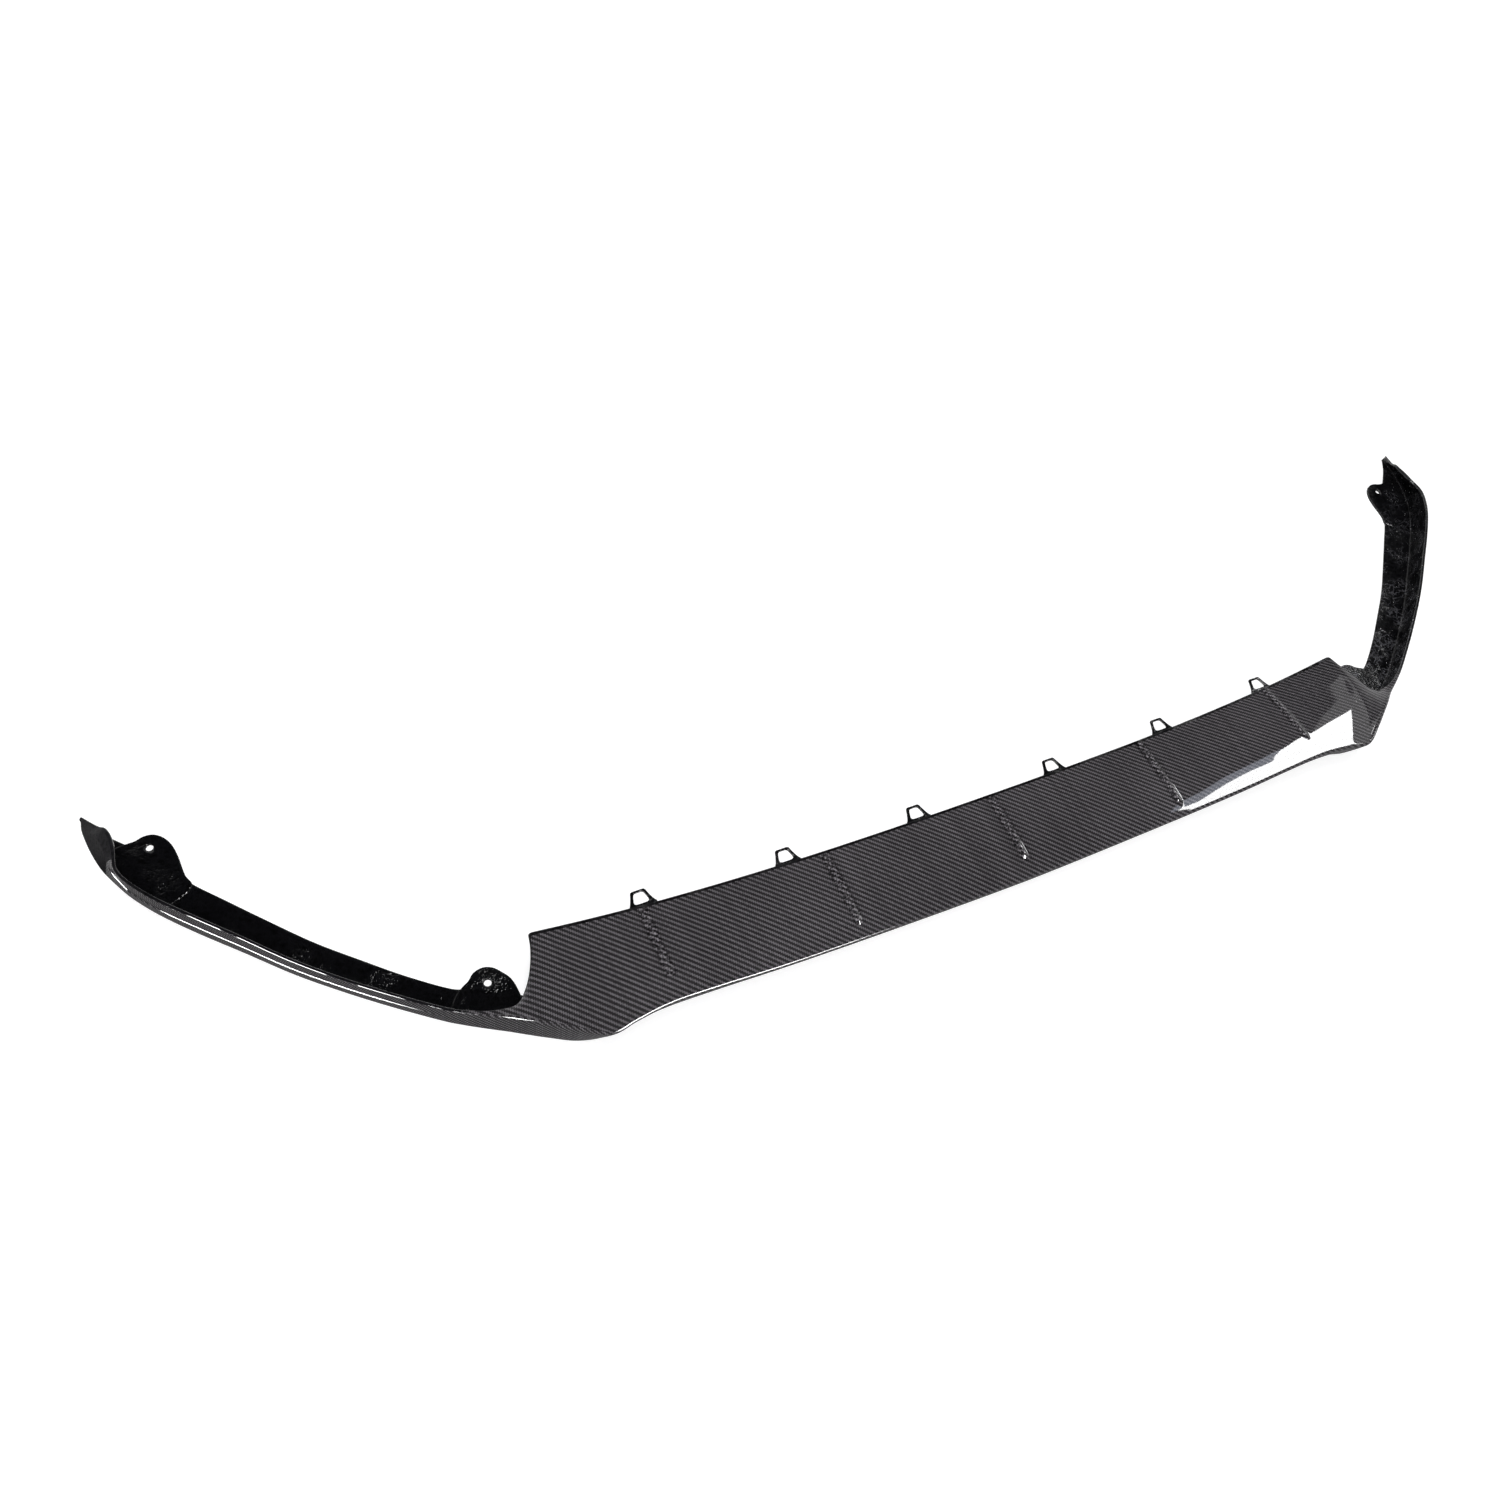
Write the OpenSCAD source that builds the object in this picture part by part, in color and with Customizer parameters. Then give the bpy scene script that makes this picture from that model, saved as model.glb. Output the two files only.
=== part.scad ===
// Front splitter lip: one moulded laminate shell.
// The deck lies under the chin of the bumper, the nose rolls over its front
// edge, and two L-shaped arms run back round its sides to pointed fins.
// X is across the car, Y runs back from the nose, Z is up.
// The origin is on the middle plane, on the floor under the nose.

/* [Overall] */
// Width over the two fins
overall_w = 1757; // [1600:1:1900]
// Depth from the origin back to the fin tips
overall_d = 394; // [350:1:450]
// Thickness of the laminate
skin_t = 2.6; // [2:0.1:4]

/* [Deck] */
// Width of the deck over its rear corners
deck_w = 1034; // [980:1:1080]
// Depth of the deck at the middle
deck_d = 96; // [80:1:120]
// Sweep of the rear edge, from the middle back to the corners
deck_sweep = 22; // [10:1:34]
// Rise of the deck between its rear edge and the nose
deck_crown = 3; // [0:0.5:6]

/* [Nose] */
// Height of the nose at the two front corners
nose_h = 47; // [40:1:56]
// Radius of the roll from the deck to the front face
nose_r = 4; // [2.5:0.5:10]
// Outward bulge of the front face
face_bulge = 1.2; // [0:0.1:3]

/* [Arms] */
// Height of the arms at their highest
arm_h = 40.5; // [34:0.5:48]
// Width of the flange halfway along the arms
flange_w = 35; // [29:1:40]
// Radius of the rim along the top of the arms
rim_r = 1.6; // [0.5:0.1:2]
// Thickness of the wall at the fin tips
tip_t = 1.3; // [1:0.1:2]
// Fillet between the inner faces
fillet_r = 3; // [1:0.5:6]

/* [Ribs] */
// Width of a stiffening rib
rib_w = 9; // [6:0.5:14]
// Height of a rib above the deck at its front end
rib_h = 3.6; // [2:0.1:6]
// Height of a rib above the deck at its rear end
rib_h_rear = 1; // [0.5:0.1:3]
// Length over which the front end of a rib rounds off
rib_end = 6; // [3:0.5:12]

/* [Clip loops] */
// Distance from the middle to each pair of loops
loop_x = [89, 245, 402]; // [60:1:440]
// Width of a loop near its top
loop_w = 19; // [18:0.5:24]
// Width of a loop at its root
loop_root_w = 29; // [26:0.5:36]
// Thickness of a loop, which stands off the middle of the laminate
loop_t = 2; // [1.2:0.1:2.4]
// Reach of a loop behind the rear edge of the deck
loop_reach = 16.5; // [15:0.5:22]
// Width of the bar that closes a loop
loop_bar = 3; // [2:0.5:4]
// Radius of the outer corners of a loop
loop_r = 3; // [1:0.5:5]
// Width of the hole in a loop
loop_hole_w = 13; // [8:0.5:14]
// Length of the hole in a loop
loop_hole_l = 10.5; // [6:0.5:11]

/* [Screw ears] */
// Diameter of the screw holes
ear_hole_d = 9; // [5:0.5:12]
// Thickness of the ears
ear_t = 3.2; // [2:0.1:5]

/* [Hidden] */

// The right half is drawn in rows, from the middle to the fin tip.
// Rows 0 to 6 are the nose, 7 to 11 round the notch beside the deck,
// rows 12 to 20 are the arm and rows 21 to 26 the fin.
corner_row = 6;
notch_row = 11;
arm_row = 12;
mid_row = 16;
crease_row = 20;
taper_row = 22;
fin_row = 24;
last_row = 26;

// Foot of the nose and of the outer wall: [x, y]
foot_rows = [
    [0, 1.5], [150, 4], [280, 8], [360, 11], [418, 12.5], [455, 12], [481, 7],
    [505, 12.5], [527, 24], [546, 35], [561, 44], [577, 53],
    [599, 66], [617, 78], [654, 106], [691, 136], [728, 168.5], [764.5, 205],
    [799, 239], [828, 270], [848, 296],
    [860, 317], [869, 336], [875, 358], [878, 377], [878.5, 386], [877, 394]
];

// Top of the nose, rim of the arms and ridge of the fins: [x, y, z]
crest_rows = [
    [0, -7.5, 34], [150, -6.5, 37], [280, -4.5, 41], [360, -1, 44.5], [416, 0.5, 46],
    [452, -3.5, 46.5], [478, -7, 47],
    [504.5, 8, 47], [528, 23, 46], [547, 35, 44], [562, 45, 41],
    [577, 53.5, 38.5],
    [599, 66, 36], [617, 78, 35], [654, 106, 35], [691, 136, 35.5],
    [728, 169, 37], [764, 205.5, 39.5], [798, 239.5, 40.5], [827, 270.5, 40],
    [846, 297, 37.5],
    [852.5, 314, 35], [851, 332, 34], [851.5, 350, 32], [855, 362.5, 28.5],
    [861.5, 371.5, 20.5], [875.5, 393, 10.5]
];

// Inner edge of the flange along the floor: [x, y]
flange_rows = [
    [0, 14], [150, 15], [280, 19], [360, 23], [417, 26], [453, 28], [478, 35],
    [500, 46], [520, 60], [537, 72], [552, 84], [566, 91],
    [584, 97], [600, 104], [635, 131], [669, 161], [704, 193], [738, 229],
    [770, 264], [796, 293], [812, 318],
    [822, 332], [832, 344], [842, 353], [853, 364.5], [864, 376.5], [875, 392]
];

// Crease that parts the upper facet of the fin from its side, rows 20 to 26
crease_rows = [
    [847, 297, 19], [855.5, 316, 27], [858, 333, 29], [860, 348, 27],
    [864.5, 362, 21.5], [870.5, 375, 12.5], [877.5, 393.5, 5.5]
];

// Rear edge of the deck, rows 0 to 6: [x, z]
rear_rows = [
    [0, 36], [150, 35.5], [280, 35], [360, 35], [416, 35.5], [466, 37], [517, 39]
];
sweep_power = 2.5;

// Side edge of the deck and the notch, rows 6 to 11: [x, y, z]
side_rows = [
    [517, 118, 39], [520.5, 101, 41], [528, 81, 42], [538, 65, 39.5],
    [550, 55, 38], [573, 58, 37.5]
];

// Screw ears: [x, y] of the hole, then the outline of the lug, which ends
// inside the wall
rear_ear = [823, 343];
rear_ear_outline = [
    [794.5, 290.5], [798.5, 301], [800, 312], [801, 325], [803.5, 338], [809, 348.5],
    [817, 355], [826, 356], [834, 353.5], [842.5, 353], [852, 352], [861, 348],
    [866, 340], [863, 331], [856, 317], [845, 299], [828, 276], [812, 277], [800, 283]
];
front_ear = [564.5, 96.5];
front_ear_outline = [
    [541.5, 66], [540.5, 80], [543, 92], [548, 100], [555.5, 108.5], [564.5, 112],
    [574, 110], [580.5, 104], [587, 100.5], [595, 95], [602, 86], [604, 76],
    [596, 70], [575, 57], [557, 47]
];

// Ribs: station along the rows and the share of the deck depth they cover
rib_stations = [[0, 0.80], [1.4, 0.84], [3.79, 0.75]];

// Sizes that the rows are drawn at
drawn_w = 2 * max([for (p = foot_rows) p.x]);
drawn_d = foot_rows[last_row].y;
drawn_nose_h = crest_rows[corner_row].z;
drawn_arm_h = max([for (k = [arm_row:last_row]) crest_rows[k].z]);
drawn_flange_w = norm(foot_rows[mid_row] - flange_rows[mid_row]);
drawn_corner = side_rows[0];
kx = overall_w / drawn_w;
ky = overall_d / drawn_d;

eps = 0.01;
rim_lip = 1;
tip_lip = 0.4;
foot_r = 1;
rib_sink = 1.2;
rib_end_angle = 80;
hole_run = 5;

// Most that a rounding takes of the straight line on either side of it
deck_share = 0.45;
face_share = 0.4;
fillet_share = 0.3;

// Sections are spaced closer where the shape turns: [first row, last row, count]
spans = [
    [0, corner_row, 18], [corner_row, arm_row, 20],
    [arm_row, crease_row, 16], [crease_row, last_row, 14]
];
deck_steps = 3;
roll_steps = 3;
rib_rings = 8;
rib_end_rings = 4;
rib_sides = 8;
ear_steps = 3;
corner_steps = 4;
hole_sides = 48;

function flat(p) = [p.x, p.y, 0];
function unit(v) = v / max(norm(v), eps);
function mix(a, b, f) = a + (b - a) * f;
function ramp(u, a, b) = max(0, min(1, (u - a) / (b - a)));

// A row scaled to the sizes set above
function rise(u) =
    mix(nose_h / drawn_nose_h, arm_h / drawn_arm_h, ramp(u, corner_row, arm_row));
function plan(p) = [p.x * kx, p.y * ky, 0];
function placed(p, u) = [p.x * kx, p.y * ky, p.z * rise(u)];

// Smooth curve through the rows of a list, at station u
function spline(rows, u, before, after) =
    let (
        i = max(0, min(floor(u), len(rows) - 2)),
        f = u - i,
        a = i > 0 ? rows[i - 1] : before,
        b = rows[i],
        c = rows[i + 1],
        d = i + 2 < len(rows) ? rows[i + 2] : after
    )
    b + (c - a) * f / 2 + (2 * a - 5 * b + 4 * c - d) * f * f / 2
      + (3 * b - 3 * c + d - a) * f * f * f / 2;
function past_end(rows) = 2 * rows[len(rows) - 1] - rows[len(rows) - 2];
function before_start(rows) = 2 * rows[0] - rows[1];

// The same for rows that start on the middle plane, and for rows that don't
function mirrored(p) = [for (k = [0:len(p) - 1]) k == 0 ? -p[k] : p[k]];
function half_curve(rows, u) = spline(rows, u, mirrored(rows[1]), past_end(rows));
function open_curve(rows, u) = spline(rows, u, before_start(rows), past_end(rows));

function foot(u) = plan(half_curve(foot_rows, u));
function crest(u) = placed(half_curve(crest_rows, u), u);

// Inward direction in plan, square to the foot line
near = 0.1;
function inward(u) =
    let (w = u < near ? [1, 0, 0]
            : unit(foot(min(u + near, last_row)) - foot(u - near)))
    [-w.y, w.x, 0];

// The wall and its rim grow thinner along the fin
function wall_t(u) = mix(skin_t, tip_t, ramp(u, taper_row, last_row));
function rim_w(u) = wall_t(u) + mix(rim_lip, tip_lip, ramp(u, taper_row, last_row));
function rim(u) = crest(u) + inward(u) * rim_w(u);

// Edge of the deck: the rear edge, a bow that is steeper towards the corners,
// then the side edge, and past the notch the rim of the wall
function sweep(x) = (deck_d + deck_sweep * pow(abs(x) / drawn_corner.x, sweep_power)) * ky;
function deck_x(x) = x * deck_w / (2 * drawn_corner.x);
function rear_edge(u) =
    let (p = half_curve(rear_rows, u))
    [deck_x(p.x), sweep(p.x), p.y * rise(u)];
function corner_shift() =
    flat(rear_edge(corner_row) - placed(drawn_corner, corner_row));
function side_edge(u) = placed(open_curve(side_rows, u - corner_row), u)
    + corner_shift() * (1 - ramp(u, corner_row, notch_row - 2));
function deck_edge(u) =
    u <= corner_row ? rear_edge(u)
    : u <= notch_row ? side_edge(u)
    : mix(side_edge(notch_row) + rim(u) - rim(notch_row), rim(u), ramp(u, notch_row, arm_row));

function flange_edge(u) =
    let (arm = ramp(u, corner_row, arm_row) * (1 - ramp(u, taper_row, fin_row)))
    mix(foot(u), plan(half_curve(flange_rows, u)), mix(1, flange_w / drawn_flange_w, arm));

// Parts of the section at station u
function crown(u, s) =
    [0, 0, 4 * s * (1 - s) * deck_crown * min(1, norm(deck_edge(u) - crest(u)) / deck_d)];
function bend(a, c, b) =
    [for (k = [0:roll_steps]) let (f = k / roll_steps)
        a * (1 - f) * (1 - f) + c * 2 * f * (1 - f) + b * f * f];
function face_mid(u) = u > crease_row ? placed(open_curve(crease_rows, u - crease_row), u)
    : mix(foot(u), crest(u), 0.5) - inward(u) * face_bulge * (1 - ramp(u, 0, notch_row));
function deck_line(u, from, to) =
    [for (k = [0:deck_steps - 1]) let (s = k / deck_steps) mix(from, to, s) + crown(u, s)];

// Outer and inner line of the section, from the deck edge over the nose and
// down to the flange edge
function outer_line(u) =
    let (d = deck_edge(u), c = crest(u), b = foot(u), m = face_mid(u), e = flange_edge(u),
         r = min(u > notch_row ? rim_r : nose_r, deck_share * norm(d - c),
                 face_share * norm(c - b)),
         c1 = c + r * unit(d - c), c2 = c + r * unit(m - c))
    concat(
        deck_line(u, d, c1), bend(c1, c, c2),
        [m, b + foot_r * unit(m - b), b + foot_r * inward(u), mix(b, e, 0.5), e]
    );

function inner_line(u) =
    let (t = wall_t(u), up = [0, 0, t], n = inward(u),
         d = deck_edge(u) - up, c = crest(u) + n * t - up,
         m = face_mid(u) + n * t, e = flange_edge(u) + up,
         b = mix(foot(u), crest(u), t / crest(u).z) + n * t,
         f = min(fillet_r, fillet_share * norm(e - b)),
         r = min(fillet_r, deck_share * norm(d - c)),
         c1 = c + r * unit(d - c), c2 = c + r * unit(m - c))
    concat(
        deck_line(u, d, c1), bend(c1, c, c2),
        [m, b + f * unit(m - b), b + n * f, mix(b, e, 0.5), e]
    );

function half_stations() = concat(
    [for (g = spans) for (k = [0:g[2] - 1]) mix(g[0], g[1], k / g[2])],
    [last_row]
);
function signed(p, side) = [p.x * side, p.y, p.z];
function reversed(l) = [for (k = [len(l) - 1:-1:0]) l[k]];
function section(u, side) =
    [for (p = concat(outer_line(u), reversed(inner_line(u)))) signed(p, side)];

// The shell is lofted through the sections, from the left tip to the right tip
module shell() {
    stations = half_stations();
    sections = concat(
        [for (k = [len(stations) - 1:-1:1]) section(stations[k], -1)],
        [for (u = stations) section(u, 1)]
    );
    around = len(sections[0]);
    last = (len(sections) - 1) * around;
    sides = [for (i = [0:len(sections) - 2]) for (j = [0:around - 1])
        let (a = i * around + j, b = i * around + (j + 1) % around)
        each [[a, b + around, b], [a, a + around, b + around]]];
    caps = [for (j = [0:around / 2 - 2])
        let (a = j, b = j + 1, c = around - 2 - j, d = around - 1 - j)
        each [[a, b, c], [a, c, d],
              [last + a, last + c, last + b], [last + a, last + d, last + c]]];
    polyhedron(points = [for (ring = sections) each ring], faces = concat(sides, caps),
               convexity = 12);
}

// A rib is a bead along one section line of the deck. It starts low behind
// and ends in a rounded front: [share of the deck depth, share of its size]
function rib_line(u, reach) =
    let (cap = rib_end / norm(deck_edge(u) - crest(u)), straight = reach - cap)
    concat(
        [for (k = [0:rib_rings - 1]) [max(eps, straight * k / (rib_rings - 1)), 1]],
        [for (k = [1:rib_end_rings]) let (a = rib_end_angle * k / rib_end_rings)
            [straight + cap * sin(a), cos(a)]]
    );
module rib(u, reach, side) {
    line = rib_line(u, reach);
    points = [for (q = line)
        let (p = mix(deck_edge(u), crest(u), q[0]) + crown(u, q[0]),
             h = mix(rib_h_rear, rib_h, q[0] / reach) * q[1], w = rib_w / 2 * q[1])
        for (j = [0:rib_sides])
            let (a = 180 * j / rib_sides)
            [(p.x + w * cos(a)) * side, p.y, p.z - rib_sink + (rib_sink + h) * sin(a)]];
    n = rib_sides + 1;
    last = (len(line) - 1) * n;
    sides = [for (i = [0:len(line) - 2]) for (j = [0:rib_sides])
        let (a = i * n + j, b = i * n + (j + 1) % n)
        side > 0 ? [a, a + n, b + n, b] : [a, b, b + n, a + n]];
    start_cap = [for (j = [0:rib_sides]) side > 0 ? j : rib_sides - j];
    end_cap = [for (j = [0:rib_sides]) last + (side > 0 ? rib_sides - j : j)];
    polyhedron(points = points, faces = concat(sides, [start_cap, end_cap]), convexity = 4);
}

// A clip loop stands off the rear edge: a flared root, two bars and a top bar
function arc(cx, cy, r, a0, a1) =
    [for (k = [0:corner_steps]) let (a = mix(a0, a1, k / corner_steps))
        [cx + r * cos(a), cy + r * sin(a)]];
module loop_half() {
    flare = (loop_root_w - loop_w) / 2;
    root = -2 * loop_bar;
    polygon(concat(
        [[-eps, root], [loop_root_w / 2, root]],
        arc(loop_root_w / 2, flare, flare, 270, 180),
        arc(loop_w / 2 - loop_r, loop_reach - loop_r, loop_r, 0, 90),
        [[-eps, loop_reach]]
    ));
}
module clip_loop() {
    difference() {
        union() {
            loop_half();
            mirror([1, 0]) loop_half();
        }
        translate([-loop_hole_w / 2, loop_reach - loop_bar - loop_hole_l])
            square([loop_hole_w, loop_hole_l]);
    }
}
function rear_station(x) = lookup(x, [for (k = [0:corner_row]) [rear_rows[k].x, k]]);
module clip_loops() {
    for (x = loop_x) for (side = [-1, 1])
        translate([side * deck_x(x), sweep(x), rear_edge(rear_station(x)).z - skin_t / 2])
            linear_extrude(loop_t, center = true) clip_loop();
}

// A screw ear is a flat lug on the flange, drawn smooth through its outline
function closed_curve(rows) =
    let (n = len(rows))
    [for (i = [0:n - 1]) for (k = [0:ear_steps - 1])
        spline([rows[(i + n - 1) % n], rows[i], rows[(i + 1) % n], rows[(i + 2) % n]],
               1 + k / ear_steps, rows[i], rows[i])];
module lug(outline) {
    linear_extrude(ear_t) polygon([for (p = closed_curve(outline)) [p.x * kx, p.y * ky]]);
}
module screw_hole(at) {
    translate([at.x * kx, at.y * ky, -hole_run])
        cylinder(h = ear_t + 2 * hole_run, d = ear_hole_d, $fn = hole_sides);
}

module splitter_lip() {
    color([0.09, 0.09, 0.1])
    difference() {
        union() {
            shell();
            for (r = rib_stations) rib(r[0], r[1], 1);
            for (r = rib_stations) if (r[0] > 0) rib(r[0], r[1], -1);
            clip_loops();
            for (side = [0, 1]) mirror([side, 0, 0]) {
                lug(rear_ear_outline);
                lug(front_ear_outline);
            }
        }
        for (side = [0, 1]) mirror([side, 0, 0]) {
            screw_hole(rear_ear);
            screw_hole(front_ear);
        }
    }
}

splitter_lip();
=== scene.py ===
"""Front splitter lip in glossy twill laminate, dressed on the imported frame."""

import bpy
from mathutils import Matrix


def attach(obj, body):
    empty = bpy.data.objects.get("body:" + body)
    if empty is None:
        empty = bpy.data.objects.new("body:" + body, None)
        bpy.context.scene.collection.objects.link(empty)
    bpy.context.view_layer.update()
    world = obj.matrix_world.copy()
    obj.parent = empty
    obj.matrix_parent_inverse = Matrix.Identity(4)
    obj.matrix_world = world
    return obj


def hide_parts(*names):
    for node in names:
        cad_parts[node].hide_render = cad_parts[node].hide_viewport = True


bl_info = {
    "name": "Front splitter lip",
    "version": (1, 0, 0),
    "blender": (4, 5, 0),
    "location": "3D View > Sidebar > Splitter lip",
    "description": "Moulded laminate splitter lip with ribs, screw ears and clip loops",
    "category": "Object",
}

import math

import bmesh
import bpy
from bpy.props import FloatProperty, FloatVectorProperty, IntProperty, PointerProperty
from bpy.types import Operator, Panel, PropertyGroup
from mathutils import Matrix, Vector, noise

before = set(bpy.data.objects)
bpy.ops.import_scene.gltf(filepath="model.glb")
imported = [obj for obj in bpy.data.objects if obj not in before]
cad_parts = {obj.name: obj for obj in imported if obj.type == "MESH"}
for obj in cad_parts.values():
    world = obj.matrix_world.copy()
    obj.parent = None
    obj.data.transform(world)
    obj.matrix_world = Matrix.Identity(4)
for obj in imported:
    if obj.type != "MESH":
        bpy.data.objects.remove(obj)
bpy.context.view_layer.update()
NODE = "splitter_lip"
BODY = "root"
MM = 0.001
UP = Vector((0, 0, 1))


# Shape of the lip ---------------------------------------------------------
# The right half in rows from the middle to the fin tip, in millimetres, the
# same rows that the solid is lofted through.

CORNER, NOTCH, ARM, CREASE, TAPER, FIN, LAST = 6, 11, 12, 20, 22, 24, 26
MID_ARM = 16


def rows(*points):
    return [Vector((*p, 0)) if len(p) == 2 else Vector(p) for p in points]


FOOT_ROWS = rows(
    (0, 1.5), (150, 4), (280, 8), (360, 11), (418, 12.5), (455, 12), (481, 7),
    (505, 12.5), (527, 24), (546, 35), (561, 44), (577, 53),
    (599, 66), (617, 78), (654, 106), (691, 136), (728, 168.5), (764.5, 205),
    (799, 239), (828, 270), (848, 296),
    (860, 317), (869, 336), (875, 358), (878, 377), (878.5, 386), (877, 394),
)
CREST_ROWS = rows(
    (0, -7.5, 34), (150, -6.5, 37), (280, -4.5, 41), (360, -1, 44.5), (416, 0.5, 46),
    (452, -3.5, 46.5), (478, -7, 47),
    (504.5, 8, 47), (528, 23, 46), (547, 35, 44), (562, 45, 41), (577, 53.5, 38.5),
    (599, 66, 36), (617, 78, 35), (654, 106, 35), (691, 136, 35.5),
    (728, 169, 37), (764, 205.5, 39.5), (798, 239.5, 40.5), (827, 270.5, 40), (846, 297, 37.5),
    (852.5, 314, 35), (851, 332, 34), (851.5, 350, 32), (855, 362.5, 28.5),
    (861.5, 371.5, 20.5), (875.5, 393, 10.5),
)
FLANGE_ROWS = rows(
    (0, 14), (150, 15), (280, 19), (360, 23), (417, 26), (453, 28), (478, 35),
    (500, 46), (520, 60), (537, 72), (552, 84), (566, 91),
    (584, 97), (600, 104), (635, 131), (669, 161), (704, 193), (738, 229),
    (770, 264), (796, 293), (812, 318),
    (822, 332), (832, 344), (842, 353), (853, 364.5), (864, 376.5), (875, 392),
)
CREASE_ROWS = rows(
    (847, 297, 19), (855.5, 316, 27), (858, 333, 29), (860, 348, 27),
    (864.5, 362, 21.5), (870.5, 375, 12.5), (877.5, 393.5, 5.5),
)
REAR_ROWS = rows((0, 36), (150, 35.5), (280, 35), (360, 35), (416, 35.5), (466, 37), (517, 39))
SIDE_ROWS = rows(
    (517, 118, 39), (520.5, 101, 41), (528, 81, 42), (538, 65, 39.5), (550, 55, 38),
    (573, 58, 37.5),
)
RIBS = ((0.0, 0.80), (1.4, 0.84), (3.79, 0.75))
REAR_EAR = (823, 343)
REAR_EAR_OUTLINE = rows(
    (794.5, 290.5), (798.5, 301), (800, 312), (801, 325), (803.5, 338), (809, 348.5),
    (817, 355), (826, 356), (834, 353.5), (842.5, 353), (852, 352), (861, 348),
    (866, 340), (863, 331), (856, 317), (845, 299), (828, 276), (812, 277), (800, 283),
)
FRONT_EAR = (564.5, 96.5)
FRONT_EAR_OUTLINE = rows(
    (541.5, 66), (540.5, 80), (543, 92), (548, 100), (555.5, 108.5), (564.5, 112),
    (574, 110), (580.5, 104), (587, 100.5), (595, 95), (602, 86), (604, 76),
    (596, 70), (575, 57), (557, 47),
)
LOOP_X = (89, 245, 402)

# Fixed sizes of the solid, in millimetres
DECK_D, DECK_SWEEP, SWEEP_POWER, DECK_CROWN = 96, 22, 2.5, 3
NOSE_R, FACE_BULGE, RIM_R, RIM_LIP, TIP_LIP = 4, 1.2, 1.6, 1, 0.4
SKIN_T, TIP_T, FILLET_R, FOOT_R, FLANGE_W = 2.6, 1.3, 3, 1, 35
EAR_T, EAR_HOLE_D = 3.2, 9
LOOP_W, LOOP_ROOT_W, LOOP_T, LOOP_REACH, LOOP_BAR, LOOP_R = 17, 30, 2, 16.5, 2.6, 3
LOOP_HOLE_W, LOOP_HOLE_L, LOOP_TAPER = 14, 12, 0.24
EDGE_R = 0.7
NEAR = 0.1
# A ledge that runs along the outside of the arms, and how it stands out at each
# of the shares of the wall's height
LEDGE = 1.1
LEDGE_SHARES = (0, 0, 0, 1, 1, 0.4)
# The deck breaks along a line near its outer corners: two points of the line,
# then the depth of the facet beyond it and the distances where it is deepest and ends
FOLD_FROM, FOLD_TO = Vector((454, -3, 0)), Vector((492, 41, 0))
FOLD_DEPTH, FOLD_DEEPEST, FOLD_END = 1.2, 22, 70

# Columns across the deck, closest where the ribs end, and points of each bend
DECK_SHARES = (0, 0.012, 0.12, 0.26, 0.4, 0.52, 0.61, 0.67, 0.71, 0.74, 0.77, 0.8, 0.83, 0.86,
               0.89, 0.93, 0.97)
ROLL_POINTS, FOOT_POINTS, FILLET_POINTS = 7, 3, 5
FACE_SHARES = (0.25, 0.465, 0.49, 0.492, 0.52, 0.75)
# Stations along the rows: first row, last row, number of steps
SPANS = ((0, 4.5, 14), (4.5, CORNER, 10), (CORNER, ARM, 28), (ARM, CREASE, 44), (CREASE, LAST, 30))
RIB_OFFSETS = (1.1, 2.2, 3.3, 4.4, 5.6, 7.5)
RIB_CLEAR = 9
# A rib stays low and swells towards its front end
RIB_SWELL = 2
RIB_UNEVEN, RIB_GRAIN = 0.3, 4


def mix(a, b, f):
    return a + (b - a) * f


def ramp(u, a, b):
    return max(0.0, min(1.0, (u - a) / (b - a)))


def ease(f):
    return f * f * (3 - 2 * f)


def unit(v):
    return v / max(v.length, 0.01)


def curve(points, u, before=None):
    """Smooth curve through the rows; before is the row ahead of the first."""
    i = max(0, min(int(u), len(points) - 2))
    f = u - i
    if before is None:
        p = points[1]
        before = Vector((-p.x, p.y, p.z))
    a = points[i - 1] if i > 0 else before
    b, c = points[i], points[i + 1]
    d = points[i + 2] if i + 2 < len(points) else 2 * points[-1] - points[-2]
    return (b + (c - a) * f / 2 + (2 * a - 5 * b + 4 * c - d) * f ** 2 / 2
            + (3 * b - 3 * c + d - a) * f ** 3 / 2)


def open_curve(points, u):
    return curve(points, u, 2 * points[0] - points[1])


def foot(u):
    return curve(FOOT_ROWS, u)


def crest(u):
    return curve(CREST_ROWS, u)


def inward(u):
    if u < NEAR:
        return Vector((0, 1, 0))
    w = unit(foot(min(u + NEAR, LAST)) - foot(u - NEAR))
    return Vector((-w.y, w.x, 0))


def wall_t(u):
    return mix(SKIN_T, TIP_T, ramp(u, TAPER, LAST))


def rim(u):
    return crest(u) + inward(u) * (wall_t(u) + mix(RIM_LIP, TIP_LIP, ramp(u, TAPER, LAST)))


def sweep(x):
    return DECK_D + DECK_SWEEP * (abs(x) / SIDE_ROWS[0].x) ** SWEEP_POWER


def rear_edge(u):
    p = curve(REAR_ROWS, u)
    return Vector((p.x, sweep(p.x), p.y))


def deck_edge(u):
    if u <= CORNER:
        return rear_edge(u)
    if u <= NOTCH:
        return open_curve(SIDE_ROWS, u - CORNER)
    return mix(SIDE_ROWS[-1] + rim(u) - rim(NOTCH), rim(u), ramp(u, NOTCH, ARM))


def flange_edge(u):
    drawn = (FOOT_ROWS[MID_ARM] - FLANGE_ROWS[MID_ARM]).length
    arm = ramp(u, CORNER, ARM) * (1 - ramp(u, TAPER, FIN))
    return mix(foot(u), curve(FLANGE_ROWS, u), mix(1, FLANGE_W / drawn, arm))


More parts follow.
